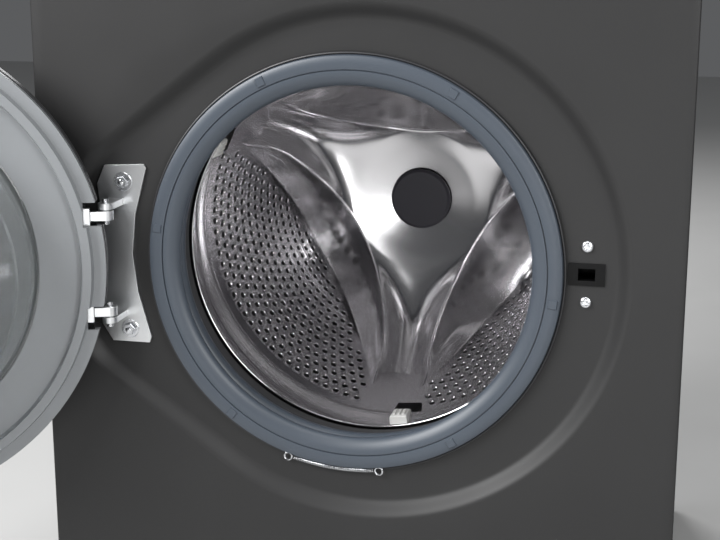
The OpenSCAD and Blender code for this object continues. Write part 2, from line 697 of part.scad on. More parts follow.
module damper_cylinders() color([0.2, 0.2, 0.22]) both_sides() translate([damper_x, damper_y, 0])
    difference() {
    union() {
        rod_z(15, 66, 176);
        box([-7, -7, ground_gap + rail_h], [7, 7, 66]);
    }
    rod_z(12.05, 72, 170);
    rod_z(5.05, 169, 177, fn = soft);
}
module damper_rods() color("silver") both_sides() translate([damper_x, damper_y, 0]) {
    rod_z(5, 100, 238, fn = soft);
    rod_z(12, 104, 116);
}
module suspension_springs() color("silver") both_sides() translate([spring_x, spring_y, 0]) {
    difference() {
        rod_z(11, spring_z[0] + 14, spring_z[1] - 14);
        rod_z(8, spring_z[0] + 13, spring_z[1] - 13);
    }
    rod_z(9, spring_z[0] + 10, spring_z[0] + 14);
    rod_z(9, spring_z[1] - 14, spring_z[1] - 10);
    rod_z(1.8, spring_z[0] + 4, spring_z[0] + 10, fn = soft);
    rod_z(1.8, spring_z[1] - 10, spring_z[1] - 2.4, fn = soft);
}

// ---- Tub, drum and drive ----

module tub_front() color("whitesmoke") difference() {
        union() {
            turned([[180.5, mouth_y], [184, mouth_y], [184, -214], [tub_r - 12, -211], [tub_r, -200],
                [tub_r, tub_joint_y - 4],
                    [tub_r + 6, tub_joint_y - 4], [tub_r + 6, tub_joint_y], [tub_r - tub_t, tub_joint_y],
                    [tub_r - tub_t, -199], [tub_r - 14, -207.5], [180.5, -210.5]]);
            rod_z(18, 256, 345, sump_at.x, sump_at.y);
            rod_z(18, 560, 648, fill_at.x, fill_at.y);
        }
        rod_z(15, 255, 380, sump_at.x, sump_at.y);
        rod_z(15, 540, 649, fill_at.x, fill_at.y);
        rod_y(tub_r - tub_t, -199, tub_joint_y + 1, 0, door_z, fine);
}
module tub_rear() color("whitesmoke") difference() {
    union() {
        turned([[tub_r - tub_t, tub_joint_y + 0.2], [tub_r + 6, tub_joint_y + 0.2],
            [tub_r + 6, tub_joint_y + 4.2],
                [tub_r, tub_joint_y + 4.2], [tub_r, 156], [tub_r - 10, tub_back_y], [boss_r, tub_back_y],
                [boss_r, boss_end_y], [24, boss_end_y], [24, 150], [boss_r, 150],
                    [boss_r + 6, tub_back_y - 4],
                [tub_r - 12, tub_back_y - 4], [tub_r - tub_t, 154]]);
        // stiffening ribs of the back wall
        for (a = [0 : 30 : 330]) translate([0, 0, door_z]) rotate([0, a, 0])
            box([boss_r - 1, tub_back_y - 1, -1.5], [tub_r - 30, tub_back_y + 12, 1.5]);
        both_sides() {
            // damper lugs and spring lugs
            box([damper_x - 12, damper_y - 12, 238], [damper_x + 12, damper_y + 12, 292]);
            box([176, spring_y - 10, spring_z[0] - 8], [spring_x + 10, spring_y + 10, spring_z[0] + 4]);
        }
    }
    rod_y(31, 149, 184.5, 0, door_z);
    rod_y(26, 197, boss_end_y + 1, 0, door_z);
    for (s = [-1, 1]) rod_y(4.05, 150, 175, s * heater_x, door_z + heater_z, soft);
    // nothing of the lugs stands inside the tub
    rod_y(tub_r - tub_t, tub_joint_y + 1, 153, 0, door_z, fine);
}

module counterweights() color("gray") {
    // two curved blocks round the mouth
    difference() {
        turned([[190, -250], [240, -250], [240, -214.2], [190, -214.2]]);
        box([-300, -260, door_z - 88], [300, -200, door_z + 88]);
    }
    // block on the top of the tub
    difference() {
        box([-110, 20, door_z + 180], [110, 130, door_z + 276]);
        rod_y(tub_r + 0.3, 10, 151, 0, door_z, fine);
        both_sides() rod_z(5, 600, 800, 85, 75, soft);
    }
}

module bearing(ro, ri, y0, y1) {
    wall = (ro - ri) * 0.28;
    tube_y(ro, ro - wall, y0, y1, 0, door_z);
    tube_y(ri + wall, ri, y0, y1, 0, door_z);
    tube_y(ro - wall, ri + wall, y0 + 1.5, y1 - 1.5, 0, door_z);
}
module drum_bearings() color("silver") {
    bearing(30.95, shaft_front_r + bearing_gap, 168.5, 184.4);
    bearing(25.95, shaft_rear_r + bearing_gap, 197.2, 212);
}

module motor_body() color("slategray") difference() {
    union() {
        rod_y(motor_r, 70, 200, 0, motor_z);
        rod_y(30, 60, 70, 0, motor_z);
        rod_y(24, 200, 210, 0, motor_z);
        both_sides() box([36, 90, motor_z], [48, 150, 232]);
    }
    rod_y(tub_r + 0.2, 60, 200, 0, door_z, fine);
    rod_y(7 + bearing_gap, 59, 211, 0, motor_z, soft);
    for (k = [0 : 7]) rod_y(3, 69, 76, 36 * cos(k * 45), motor_z + 36 * sin(k * 45), soft);
}
module motor_rotor() color("silver") {
    rod_y(7, 52, 222, 0, motor_z, soft);
    rod_y(motor_pulley_r, 222, 248, 0, motor_z, soft);
}

// Outline of a belt's path round both pulleys, at the given radii, in short straight steps
belt_drop = door_z - motor_z;
belt_step = 4;
function belt_arc(r, x, z, from, to) = [for (k = [0 : round((to - from) / belt_step)])
    let (a = from + (to - from) * k / round((to - from) / belt_step), s = r / cos(belt_step / 2))
    [x + s * cos(a), z + s * sin(a)]];

module belt_outline(big, small) {
    lean = asin((big - small) / belt_drop);
    polygon(concat(belt_arc(big, 0, 0, -lean, 180 + lean),
        belt_arc(small, 0, -belt_drop, 180 + lean, 360 - lean)));
}

module drive_belt() color([0.08, 0.08, 0.08]) difference() {
    plate_y(pulley_y[0] + 2, pulley_y[1] - 2) belt_outline(pulley_r + gap + 3, motor_pulley_r + gap + 3);
    plate_y(pulley_y[0], pulley_y[1]) belt_outline(pulley_r + gap, motor_pulley_r + gap);
}

module heater_element() color("silver") {
    for (s = [-1, 1]) rod_y(4, -36, 182, s * heater_x, door_z + heater_z, soft);
    translate([0, -36, door_z + heater_z]) rotate([180, 0, 0]) rotate_extrude(angle = 180, $fn = 64)
        translate([heater_x, 0]) circle(r = 4, $fn = 24);
    difference() {
        box([-38, tub_back_y + 0.1, door_z + heater_z - 9], [38, tub_back_y + 5, door_z + heater_z + 12]);
        for (s = [-1, 1]) rod_y(4, tub_back_y - 1, tub_back_y + 6, s * heater_x, door_z + heater_z, soft);
    }
}

module drum_shell() color("silver") turned([
    [drum_r, drum_back_y], [drum_r, drum_front_y + 6], [drum_r - 6, drum_front_y - 4],
        [187, drum_front_y - 6.5],
    [drum_lip_r + 3, drum_front_y - 9.5], [drum_lip_r + 1.2, drum_front_y - 18],
        [drum_lip_r, drum_front_y - 18],
    [drum_lip_r + 1.4, drum_front_y - 9], [186.4, drum_front_y - 5.3], [drum_r - 6.6, drum_front_y - 2.8],
    [drum_r - drum_t, drum_front_y + 6.5], [drum_r - drum_t, drum_back_y]]);

dome_y = 68;                             // the drum back's middle bulges this far forward
back_r = drum_r - drum_t - 0.1;
// The back's arms, as [radius, y] of their front face, and the flat back behind them
arm_face = [[34, dome_y], [80, dome_y + 14], [125, 50], [165, 4], [back_r, -45]];
back_face = [[60, dome_y + 16], [80, dome_y + 18], [165, 112], [back_r - 4, 122],
    [back_r, drum_back_y - 2]];
function shifted(points, dy) = [for (p = points) [p.x, p.y + dy]];
function reversed(points) = [for (k = [len(points) - 1 : -1 : 0]) points[k]];
module scoops(r) for (a = arm_angles) rotate(a + 60) translate([star[0], 0]) circle(r = r, $fn = fine);
module drum_back() color("silver") {
    // flat back
    turned(concat(back_face, reversed(shifted(back_face, 2))));
    // arms that come forward between the scoops
    intersection() {
        turned(concat([[0, dome_y]], arm_face, reversed(shifted(arm_face, 1.5)), [[0, dome_y + 1.5]]));
        plate_y(-60, drum_back_y) difference() {
            circle(r = back_r + 1, $fn = fine);
            scoops(star[1]);
        }
    }
    // walls round the scoops
    intersection() {
        turned(concat(shifted(arm_face, 0.5), reversed(shifted(back_face, 1))));
        plate_y(-60, drum_back_y) difference() {
            scoops(star[1] + 1.5);
            scoops(star[1]);
        }
    }
}

// Perforated inserts at the front ends of the arms, which let water down through the drum
vent_y = [-112, -74];
module drum_vents() color("whitesmoke") for (a = arm_angles) translate([0, 0, door_z]) rotate([0, -a, 0])
    difference() {
        box([184, vent_y[0], -15], [201.9, vent_y[1], 15]);
        box([183, vent_y[0] + 3, -12], [190, vent_y[1] - 3, 12]);
    }

module drum_spider() color("lightgray") {
    rod_y(40, dome_y + 6, 148.5, 0, door_z);
    rod_y(shaft_front_r, 148, 186, 0, door_z);
    rod_y(shaft_rear_r, 186, 252, 0, door_z);
    for (a = arm_angles) translate([0, 0, door_z]) rotate([0, -a, 0]) {
        box([34, 132, -18], [drum_r - 1, 147, 18]);
        box([190, drum_back_y + 0.1, -18], [drum_r - 1, 133, 18]);
    }
}
module drum_pulley() color("lightgray") {
    tube_y(pulley_r, pulley_r - 8, pulley_y[0], pulley_y[1], 0, door_z);
    tube_y(24, shaft_rear_r, pulley_y[0] - 2, pulley_y[1] + 2, 0, door_z);
    for (a = [0 : 60 : 300]) translate([0, 0, door_z]) rotate([0, a, 0])
        box([22, pulley_y[0] + 4, -8], [pulley_r - 5, pulley_y[1] - 6, 8]);
}
module hub_cap() color([0.25, 0.25, 0.27])
    turned([[0, dome_y - 4], [31, dome_y - 4], [34, dome_y - 2], [34, dome_y - 0.1], [0, dome_y - 0.1]],
        96);

left_side_panel();
right_side_panel();
rear_panel();
rear_service_cover();
cover_screws();
front_panel();
plinth_panel();
base_frame();
worktop();
top_crossbars();
control_panel();
display_lens();
control_board();
drawer_housing();
inlet_valve();
internal_hoses();
door_gasket();
gasket_clamp();
hinge_bracket();
hinge_fasteners();
door_lock();
lock_screws();
drain_pump();
mains_gland();
drain_connector();
damper_cylinders();
suspension_springs();
foot_front_left();
foot_front_right();
rear_feet();
lock_slide();
pump_impeller();
pump_filter();
filter_flap();
programme_knob();
power_button();
start_button();
drawer_tray();
drawer_front();
door_outer_ring();
door_inner_ring();
door_cover();
door_glass();
door_hinge_arms();
door_hook();
tub_front();
tub_rear();
counterweights();
drum_bearings();
motor_body();
drive_belt();
damper_rods();
heater_element();
drum_shell();
drum_back();
drum_vents();
drum_spider();
drum_pulley();
hub_cap();
motor_rotor();
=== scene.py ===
import bpy
import bmesh
import json
import math
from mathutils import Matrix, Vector

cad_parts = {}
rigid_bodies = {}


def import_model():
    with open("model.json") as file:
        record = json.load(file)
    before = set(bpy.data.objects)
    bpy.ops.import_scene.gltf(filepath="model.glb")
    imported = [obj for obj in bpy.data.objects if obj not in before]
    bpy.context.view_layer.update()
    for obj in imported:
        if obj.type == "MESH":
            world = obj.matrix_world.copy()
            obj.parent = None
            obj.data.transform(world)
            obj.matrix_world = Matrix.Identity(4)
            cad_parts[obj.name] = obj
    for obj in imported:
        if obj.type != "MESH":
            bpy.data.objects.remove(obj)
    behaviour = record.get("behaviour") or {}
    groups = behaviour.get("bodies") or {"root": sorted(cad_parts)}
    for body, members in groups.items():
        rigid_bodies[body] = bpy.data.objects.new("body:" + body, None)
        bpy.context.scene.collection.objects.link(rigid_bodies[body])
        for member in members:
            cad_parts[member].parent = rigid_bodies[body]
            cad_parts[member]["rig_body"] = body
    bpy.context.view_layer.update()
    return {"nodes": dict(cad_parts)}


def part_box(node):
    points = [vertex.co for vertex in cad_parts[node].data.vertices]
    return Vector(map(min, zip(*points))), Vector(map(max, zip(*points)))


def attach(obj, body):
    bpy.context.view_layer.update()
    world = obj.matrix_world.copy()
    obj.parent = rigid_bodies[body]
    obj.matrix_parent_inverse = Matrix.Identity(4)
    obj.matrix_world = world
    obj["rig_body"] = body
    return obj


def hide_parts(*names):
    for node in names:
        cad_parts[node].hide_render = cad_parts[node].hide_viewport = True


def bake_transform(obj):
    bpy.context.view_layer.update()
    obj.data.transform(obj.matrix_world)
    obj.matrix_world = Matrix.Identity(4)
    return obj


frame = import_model()
nodes = frame["nodes"]
scene = bpy.context.scene
scene.view_settings.view_transform = "Standard"

# ---- Places from the frame.

MM = 0.001


def box_mm(node):
    """A CAD node's lowest and highest corners at rest, in mm."""
    return [Vector([round(v / MM, 4) for v in corner]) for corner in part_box(node)]


panel_low, panel_high = box_mm("front_panel")
seal_low, seal_high = box_mm("door_gasket")
FRONT_Y = panel_low.y
DOOR_Z = (seal_low.z + seal_high.z) / 2


# ---- Materials ----

COAT_ROUGHNESS = 0.12
BROAD_SCALE, BROAD_DETAIL = 9.0, 4.0
FINE_DETAIL = 3.0
RELIEF_DEPTH = 0.0003  # metres
finish = {}


def noise(tree, where, scale, detail):
    node = tree.nodes.new("ShaderNodeTexNoise")
    node.inputs["Scale"].default_value = scale
    node.inputs["Detail"].default_value = detail
    tree.links.new(where.outputs["Object"], node.inputs["Vector"])
    return node.outputs["Fac"]


def material(name, color, rough, metal=0.0, grain=0.0, scale=300.0, spread=0.06, coat=0.0, mottle=0.06,
             **extra):
    """A surface whose colour, roughness and fine relief all vary a little, by noise."""
    mat = bpy.data.materials.new(name)
    mat.use_nodes = True
    tree = mat.node_tree
    shader = tree.nodes["Principled BSDF"]
    link = tree.links.new
    shader.inputs["Metallic"].default_value = metal
    shader.inputs["Coat Weight"].default_value = coat
    shader.inputs["Coat Roughness"].default_value = COAT_ROUGHNESS
    for key, value in extra.items():
        shader.inputs[key.replace("_", " ")].default_value = value
    where = tree.nodes.new("ShaderNodeTexCoord")
    broad = noise(tree, where, BROAD_SCALE, BROAD_DETAIL)
    tint = tree.nodes.new("ShaderNodeValToRGB")
    dark, light = tint.color_ramp.elements
    dark.position, light.position = 0.3, 0.7
    dark.color = [c * (1 - mottle) for c in color] + [1]
    light.color = [min(1, c * (1 + mottle)) for c in color] + [1]
    link(broad, tint.inputs["Fac"])
    link(tint.outputs["Color"], shader.inputs["Base Color"])
    gloss = tree.nodes.new("ShaderNodeMapRange")
    gloss.inputs["To Min"].default_value = max(0.02, rough - spread)
    gloss.inputs["To Max"].default_value = min(1, rough + spread)
    link(broad, gloss.inputs["Value"])
    link(gloss.outputs["Result"], shader.inputs["Roughness"])
    bump = tree.nodes.new("ShaderNodeBump")
    bump.inputs["Strength"].default_value = grain
    bump.inputs["Distance"].default_value = RELIEF_DEPTH
    link(noise(tree, where, scale, FINE_DETAIL), bump.inputs["Height"])
    link(bump.outputs["Normal"], shader.inputs["Normal"])
    finish[name] = mat
    return mat


material("cabinet_paint", (0.0175, 0.0174, 0.0177), 0.5, 0.0, 0.12, 900,
         Specular_IOR_Level=0.35)
material("worktop_board", (0.05, 0.05, 0.053), 0.5, 0.0, 0.3, 500)
material("zinc_sheet", (0.6, 0.61, 0.62), 0.38, 1.0, 0.1, 120, 0.12, mottle=0.15)
material("black_paint", (0.02, 0.02, 0.022), 0.45, 0.0, 0.1, 500)
material("panel_plastic", (0.05, 0.05, 0.054), 0.34, 0.1, 0.1, 900)
material("display_glass", (0.01, 0.01, 0.012), 0.08, 0.0, 0.0, 50, 0.02, coat=0.6)
material("board_green", (0.02, 0.14, 0.05), 0.4, 0.0, 0.2, 700, mottle=0.2)
material("white_plastic", (0.72, 0.72, 0.7), 0.4, 0.0, 0.08, 600)
# The tub's near-black tone is painted shade: it stands in for the dark inside the closed tub, seen through
# the drum's holes and under its rim.
material("tub_plastic", (0.035, 0.035, 0.037), 0.55, 0.0, 0.2, 400)
material("black_plastic", (0.0015, 0.0015, 0.0017), 0.5, 0.0, 0.12, 700,
         Specular_IOR_Level=0.2)
material("dark_plastic", (0.035, 0.035, 0.038), 0.38, 0.0, 0.12, 700)
material("grey_plastic", (0.2, 0.21, 0.22), 0.42, 0.0, 0.12, 600)
material("hose_rubber", (0.025, 0.025, 0.026), 0.6, 0.0, 0.3, 300)
material("seal_rubber", (0.047, 0.058, 0.074), 0.42, 0.0, 0.06, 500, 0.05, mottle=0.05)
material("zinc_bright", (0.62, 0.63, 0.65), 0.26, 1.0, 0.06, 200, 0.08, mottle=0.1)
material("cast_zinc", (0.75, 0.76, 0.77), 0.34, 1.0, 0.2, 260, 0.1, mottle=0.12)
material("trim_silver", (0.42, 0.43, 0.44), 0.3, 0.7, 0.05, 500)
material("door_glass", (0.9, 0.94, 0.95), 0.05, 0.0, 0.0, 60, 0.02, mottle=0.02,
         Transmission_Weight=0.9, IOR=1.47)
material("door_tint", (0.05, 0.05, 0.055), 0.08, 0.0, 0.0, 60, 0.03, coat=0.5,
         Transmission_Weight=0.35)
material("drum_steel", (0.63, 0.622, 0.636), 0.19, 1.0, 0.003, 120, 0.015, mottle=0.04)
material("cap_grey", (0.047, 0.045, 0.057), 0.5, 0.0, 0.08, 700)
material("iron", (0.16, 0.16, 0.165), 0.6, 0.3, 0.7, 160, mottle=0.2)
material("alloy", (0.5, 0.51, 0.52), 0.42, 1.0, 0.35, 200, mottle=0.12)
material("motor_steel", (0.3, 0.31, 0.32), 0.4, 0.9, 0.15, 250, mottle=0.12)
material("bearing_steel", (0.6, 0.6, 0.62), 0.2, 1.0, 0.03, 300)
material("belt_rubber", (0.02, 0.02, 0.02), 0.65, 0.0, 0.3, 400)
material("damper_steel", (0.12, 0.12, 0.13), 0.35, 0.7, 0.08, 300)
material("orange_plastic", (0.62, 0.2, 0.03), 0.4, 0.0, 0.1, 500)

for obj in nodes.values():
    for slot in obj.material_slots:
        key = slot.material.name.split(".")[0] if slot.material else ""
        slot.material = finish.get(key, finish["dark_plastic"])


# ---- Mesh helpers ----

def piece(name, verts, faces, slot, body=None, sharp=40.0):
    """A smooth-shaded mesh from mm; sharp is the angle in degrees from which an edge stays sharp."""
    mesh = bpy.data.meshes.new(name)
    mesh.from_pydata([Vector(v) * MM for v in verts], [], faces)
    mesh.validate()
    obj = bpy.data.objects.new(name, mesh)
    scene.collection.objects.link(obj)
    mesh.materials.append(finish[slot])
    bm = bmesh.new()
    bm.from_mesh(mesh)
    bmesh.ops.remove_doubles(bm, verts=bm.verts, dist=1e-6)
    bmesh.ops.recalc_face_normals(bm, faces=bm.faces)
    bm.to_mesh(mesh)
    bm.free()
    mesh.shade_smooth()
    mesh.set_sharp_from_angle(angle=math.radians(sharp))
    if body:
        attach(obj, body)
    return obj


def circle(count):
    """Evenly spaced angles once round, in radians."""
    return [2 * math.pi * k / count for k in range(count)]


def around(r, y, angle, cx=0.0, cz=DOOR_Z):
    """A point at radius r from an axis along y."""
    return (cx + r * math.cos(angle), y, cz + r * math.sin(angle))


def skin(columns, closed=False):
    """Columns of points joined side by side, the last to the first; closed joins each column's ends too."""
    count, n = len(columns), len(columns[0])
    faces = []
    for k in range(count):
        after = (k + 1) % count
        for i in range(n if closed else n - 1):
            j = (i + 1) % n
            faces.append((k * n + i, after * n + i, after * n + j, k * n + j))
    return [point for column in columns for point in column], faces


def turned(profile, count, cx=0.0, cz=DOOR_Z, closed=True):
    """A profile of (radius, y) turned about an axis along y."""
    return skin([[around(r, y, a, cx, cz) for r, y in profile] for a in circle(count)], closed)


def tube_along(points, radius, sides=10, closed=False):
    """A round wire through points."""
    verts, faces = [], []
    points = [Vector(p) for p in points]
    n = len(points)
    side = None
    for i, point in enumerate(points):
        ahead = points[(i + 1) % n] if (closed or i < n - 1) else point
        behind = points[i - 1] if (closed or i > 0) else point
        along = (ahead - behind).normalized()
        if side is None:
            side = along.orthogonal().normalized()
        side = (side - along * side.dot(along)).normalized()
        other = along.cross(side)
        for a in circle(sides):
            verts.append(tuple(point + side * radius * math.cos(a) + other * radius * math.sin(a)))
    for i in range(n if closed else n - 1):
        j = (i + 1) % n
        for k in range(sides):
            after = (k + 1) % sides
            faces.append((i * sides + k, j * sides + k, j * sides + after, i * sides + after))
    if not closed:
        faces.append(tuple(range(sides))[::-1])
        faces.append(tuple((n - 1) * sides + k for k in range(sides)))
    return verts, faces


def join(*parts):
    verts, faces = [], []
    for part_verts, part_faces in parts:
        base = len(verts)
        verts += part_verts
        faces += [tuple(i + base for i in face) for face in part_faces]
    return verts, faces


def step(x, a, b):
    """0 before a, 1 after b, and a smooth rise between them."""
    t = min(1.0, max(0.0, (x - a) / (b - a)))
    return t * t * (3 - 2 * t)


def refined(node, width):
    """A CAD node's own shape with its edges rounded by width."""
    source = nodes[node]
    mesh = source.data.copy()
    obj = bpy.data.objects.new(node + "_finished", mesh)
    scene.collection.objects.link(obj)
    bm = bmesh.new()
    bm.from_mesh(mesh)
    bmesh.ops.remove_doubles(bm, verts=bm.verts, dist=2e-6)
    bmesh.ops.dissolve_limit(bm, angle_limit=math.radians(0.5), verts=bm.verts, edges=bm.edges)
    bm.to_mesh(mesh)
    bm.free()
    mesh.shade_smooth()
    mesh.set_sharp_from_angle(angle=math.radians(30))
    bevel = obj.modifiers.new("round", "BEVEL")
    bevel.width = width * MM
    bevel.segments = 2
    bevel.limit_method = "ANGLE"
    bevel.angle_limit = math.radians(40)
    bevel.harden_normals = True
    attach(obj, source["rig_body"])
    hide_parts(node)


# ---- Front panel with its dished recess: points are (x, z) from the door's centre ----

DISH_X, DISH_R = 14.0, 232.0
POCKET = [(-138, 176.5), (-247, 91.5), (-268, 60), (-268, -62), (-247, -100), (-138, -176.5)]
OPENING_R = 187.0
DISH_DEPTH = 11.0
SLOPE_HALF = 9.0
EDGE_ROUND = 2.2
LOCK_X, LOCK_Z = 213.0, 4.5
SLOT_HALF_X, SLOT_HALF_Z = 11, 7


def dish_edge(angle):
    """Distance from the door's centre to the recess's outline: its circle, or its pocket where wider."""
    c, s = math.cos(angle), math.sin(angle)
    offset = DISH_X * c
    edge = offset + math.sqrt(offset * offset + DISH_R ** 2 - DISH_X ** 2)
    for (x0, z0), (x1, z1) in zip(POCKET, POCKET[1:]):
        across = (x1 - x0) * s - (z1 - z0) * c
        if abs(across) < 1e-9:
            continue
        t = (x0 * (z1 - z0) - z0 * (x1 - x0)) / -across
        u = ((x0 - t * c) * (x0 - x1) + (z0 - t * s) * (z0 - z1)) / ((x1 - x0) ** 2 + (z1 - z0) ** 2)
        if t > 0 and 0 <= u <= 1:
            edge = max(edge, t)
    return edge


def soft_dish_edge(angle):
    """dish_edge averaged over a short arc, which rounds the outline's corners."""
    near = [dish_edge(angle + k * 0.0065) for k in range(-9, 10)]
    return sum(near) / len(near)


def panel_edge(angle):
    """Distance from the door's centre to the panel's straight outer edge."""
    c, s = math.cos(angle), math.sin(angle)
    reach = []
    if abs(c) > 1e-9:
        reach.append(panel_high.x / abs(c))
    if s > 1e-9:
        reach.append((panel_high.z - DOOR_Z) / s)
    if s < -1e-9:
        reach.append((panel_low.z - DOOR_Z) / s)
    return min(reach)


def panel_column(angle):
    """Points from the opening's rim across the recess and its slope to the panel's outer edge."""
    edge, out = soft_dish_edge(angle), panel_edge(angle)
    floor_y = FRONT_Y + DISH_DEPTH
    flat_from, flat_to = OPENING_R + 2, edge - SLOPE_HALF
    face_from, face_to = edge + SLOPE_HALF, out - EDGE_ROUND
    column = [(OPENING_R, floor_y + 14), (OPENING_R, floor_y + 2), (OPENING_R + 0.6, floor_y + 0.6),
              (flat_from, floor_y)]
    column += [(flat_from + (flat_to - flat_from) * t, floor_y) for t in (0.25, 0.5, 0.75, 1.0)]
    for k in range(1, 13):
        t = k / 12
        column.append((flat_to + 2 * SLOPE_HALF * t, floor_y - DISH_DEPTH * step(t, 0, 1)))
    column += [(face_from + (face_to - face_from) * t, FRONT_Y) for t in (0.25, 0.5, 0.75, 0.9, 1.0)]
    column += [(out - 0.7, FRONT_Y + 0.6), (out, FRONT_Y + 2.0), (out, FRONT_Y + 12.0)]
    return [around(r, y, angle) for r, y in column]


def build_front_panel():
    corners = [math.atan2(z - DOOR_Z, x) % (2 * math.pi)
               for x in (panel_low.x, panel_high.x) for z in (panel_low.z, panel_high.z)]
    verts, faces = skin([panel_column(a) for a in sorted(set(circle(480) + corners))])

    def in_slot(face):
        x = sum(verts[i][0] for i in face) / 4
        z = sum(verts[i][2] for i in face) / 4 - DOOR_Z
        return abs(x - LOCK_X) < SLOT_HALF_X and abs(z - LOCK_Z) < SLOT_HALF_Z

    faces = [face for face in faces if not in_slot(face)]
    obj = piece("front_panel_skin", verts, faces, "cabinet_paint", "cabinet", sharp=60)
    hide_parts("front_panel")


build_front_panel()

# ---- Door seal, its clamp and the clamp's spring ----

# The seal's section as (radius, y): the lip over the panel, the groove, the mouth, and the fold to the tub.
SEAL = [(193, -279.2), (193, -284), (192.2, -286), (190, -287), (186, -287.3), (182, -287.3), (180.2, -286.9),
        (179.8, -285.6), (179.3, -285.6), (178.9, -286.9), (177, -287), (173, -285.6), (169.5, -283.8),
        (166.6, -281.4), (165.2, -279), (165, -277.5), (165.3, -275), (167, -273.6), (169, -274),
        (171, -276.4), (174, -279), (182.8, -281), (182.8, -262), (180.5, -259), (174.5, -254),
        (172, -251.5), (171.4, -247.7), (172, -244), (178, -236), (183.4, -229.5), (184.2, -226),
        (184.2, -214), (187.2, -214), (187.2, -230), (175.6, -245.5), (175.2, -247.5), (175.6, -249.5),
        (186.6, -260.5), (186.6, -279.2)]
PAD_ANGLES = (116, 60, 171, 232, 301, 353)
PAD_R, PAD_Y, PAD_WIDTH = (181.5, 190.5), (-286.6, -288.2), 9

CLAMP_R, CLAMP_Y = 194.4, -281.5
CLAMP_WIRE_R = 1.1
CLAMP_GAP = (math.radians(252), math.radians(278))
COIL_TURNS, COIL_STEPS = 46, 12
COIL_R, COIL_WIRE_R = 2.1, 0.62
EYE_R, EYE_WIRE_R = 3.6, 0.95


def pad_on_ring(angle):
    """A small moulded pad on the seal's face, narrower at its top."""
    middle = sum(PAD_R) / 2
    verts = []
    for y, taper in zip(PAD_Y, (1.0, 0.8)):
        for r, side in ((PAD_R[0], -1), (PAD_R[0], 1), (PAD_R[1], 1), (PAD_R[1], -1)):
            pad_r = middle + (r - middle) * taper
            verts.append(around(pad_r, y, math.radians(angle) + side * taper * PAD_WIDTH / 2 / pad_r))
    return verts, [(0, 1, 2, 3), (4, 7, 6, 5), (0, 4, 5, 1), (1, 5, 6, 2), (2, 6, 7, 3), (3, 7, 4, 0)]


def build_seal():
    verts, faces = join(turned(SEAL, 288), *[pad_on_ring(angle) for angle in PAD_ANGLES])
    obj = piece("door_seal_moulded", verts, faces, "seal_rubber")
    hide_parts("door_gasket")
    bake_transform(obj)


def spring_eye(angle):
    centre = Vector(around(CLAMP_R + 2.0, CLAMP_Y - 1.5, angle))
    along = Vector((-math.sin(angle), 0, math.cos(angle)))
    out = Vector((math.cos(angle), 0, math.sin(angle)))
    loop = [tuple(centre + along * EYE_R * math.cos(w) + out * EYE_R * math.sin(w)) for w in circle(20)]
    return tube_along(loop, EYE_WIRE_R, 8, closed=True)


def build_clamp():
    """The wire ring is open at the bottom, where a tension spring with two eyes closes it."""
    start, end = CLAMP_GAP
    span = 2 * math.pi - (end - start)
    arc = [around(CLAMP_R, CLAMP_Y, end + span * k / 220) for k in range(221)]
    verts, faces = tube_along(arc, CLAMP_WIRE_R, 8)
    # The wire ring is coloured black so that it reads as the dark edge round the seal: painted shade of the
    # gap there.
    ring = piece("seal_clamp_ring", verts, faces, "black_paint", "cabinet")
    coil = []
    count = COIL_TURNS * COIL_STEPS
    for k in range(count + 1):
        a = start + (end - start) * (0.06 + 0.88 * k / count)
        w = 2 * math.pi * k / COIL_STEPS
        coil.append(around(CLAMP_R + 1.2 + COIL_R * math.cos(w), CLAMP_Y + COIL_R * math.sin(w), a))
    verts, faces = join(tube_along(coil, COIL_WIRE_R, 6), spring_eye(start), spring_eye(end))
    piece("seal_clamp_spring", verts, faces, "zinc_bright", "cabinet")
    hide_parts("gasket_clamp")


build_seal()
build_clamp()

# ---- Drum: rolled rim, perforated wall, pressed back ----

ARMS = (29.0, 149.0, 269.0)
LOBES = (89.0, 209.0, 329.0)
# Each scoop's edge, seen from the front, is a circle STAR_R round a point STAR_D from the drum's axis.
STAR_D, STAR_R = 443.0, 363.0
DRUM_R = 203.0
WALL_FRONT, WALL_BACK = -100.0, 118.0
TAPER = 0.25
HUB_R, HUB_Y = 34.0, 70.0
DISC_R = 30.0


def wall_r(y):
    """The wall's radius: straight at the front, then narrowing towards the back."""
    return DRUM_R if y < WALL_FRONT else DRUM_R - TAPER * (y - WALL_FRONT)


def off_lobe(degrees):
    """Signed angle from the nearest lobe's middle, in degrees."""
    return min(((degrees - c + 180) % 360 - 180 for c in LOBES), key=abs)


def wall_back(delta):
    """Where the wall meets the pressed back: deepest at a lobe's middle."""
    return 112 - 170 * min(1.0, abs(delta) / 53.0) ** 2.4


def crest_r(delta):
    """Radius of a lobe's edge at an angle from the lobe's middle."""
    d = math.radians(delta)
    inside = STAR_R ** 2 - (STAR_D * math.sin(d)) ** 2
    if inside <= 0:
        return DRUM_R
    return min(DRUM_R, STAR_D * math.cos(d) - math.sqrt(inside))


def crest_y(r):
    return HUB_Y - 0.16 * (r - HUB_R) - 88 * max(0.0, (r - HUB_R) / (DRUM_R - HUB_R)) ** 3


def crest_gap(r, delta):
    """Distance in plan from a point to the lobe's edge: positive inside the scoop."""
    d = math.radians(delta)
    x, z = r * math.cos(d), r * math.sin(d)
    return STAR_R - math.hypot(x - STAR_D, z)


def crest_angle(r):
    """Angle from the lobe's middle at which its edge crosses radius r."""
    if r <= STAR_D - STAR_R:
        return 0.0
    c = (STAR_D ** 2 + r * r - STAR_R ** 2) / (2 * STAR_D * r)
    return math.degrees(math.acos(max(-1.0, min(1.0, c))))


def arm_y(r, delta):
    """The arm's surface: its crest with a shallow valley along its middle."""
    half = r * math.sin(math.radians(max(0.5, 60 - min(60, crest_angle(r)))))
    u = min(1.0, r * math.sin(math.radians(60 - abs(delta))) / max(half, 1e-6))
    return crest_y(r) + 14.0 * step(r, 60, 150) * (1 - u * u) ** 1.5


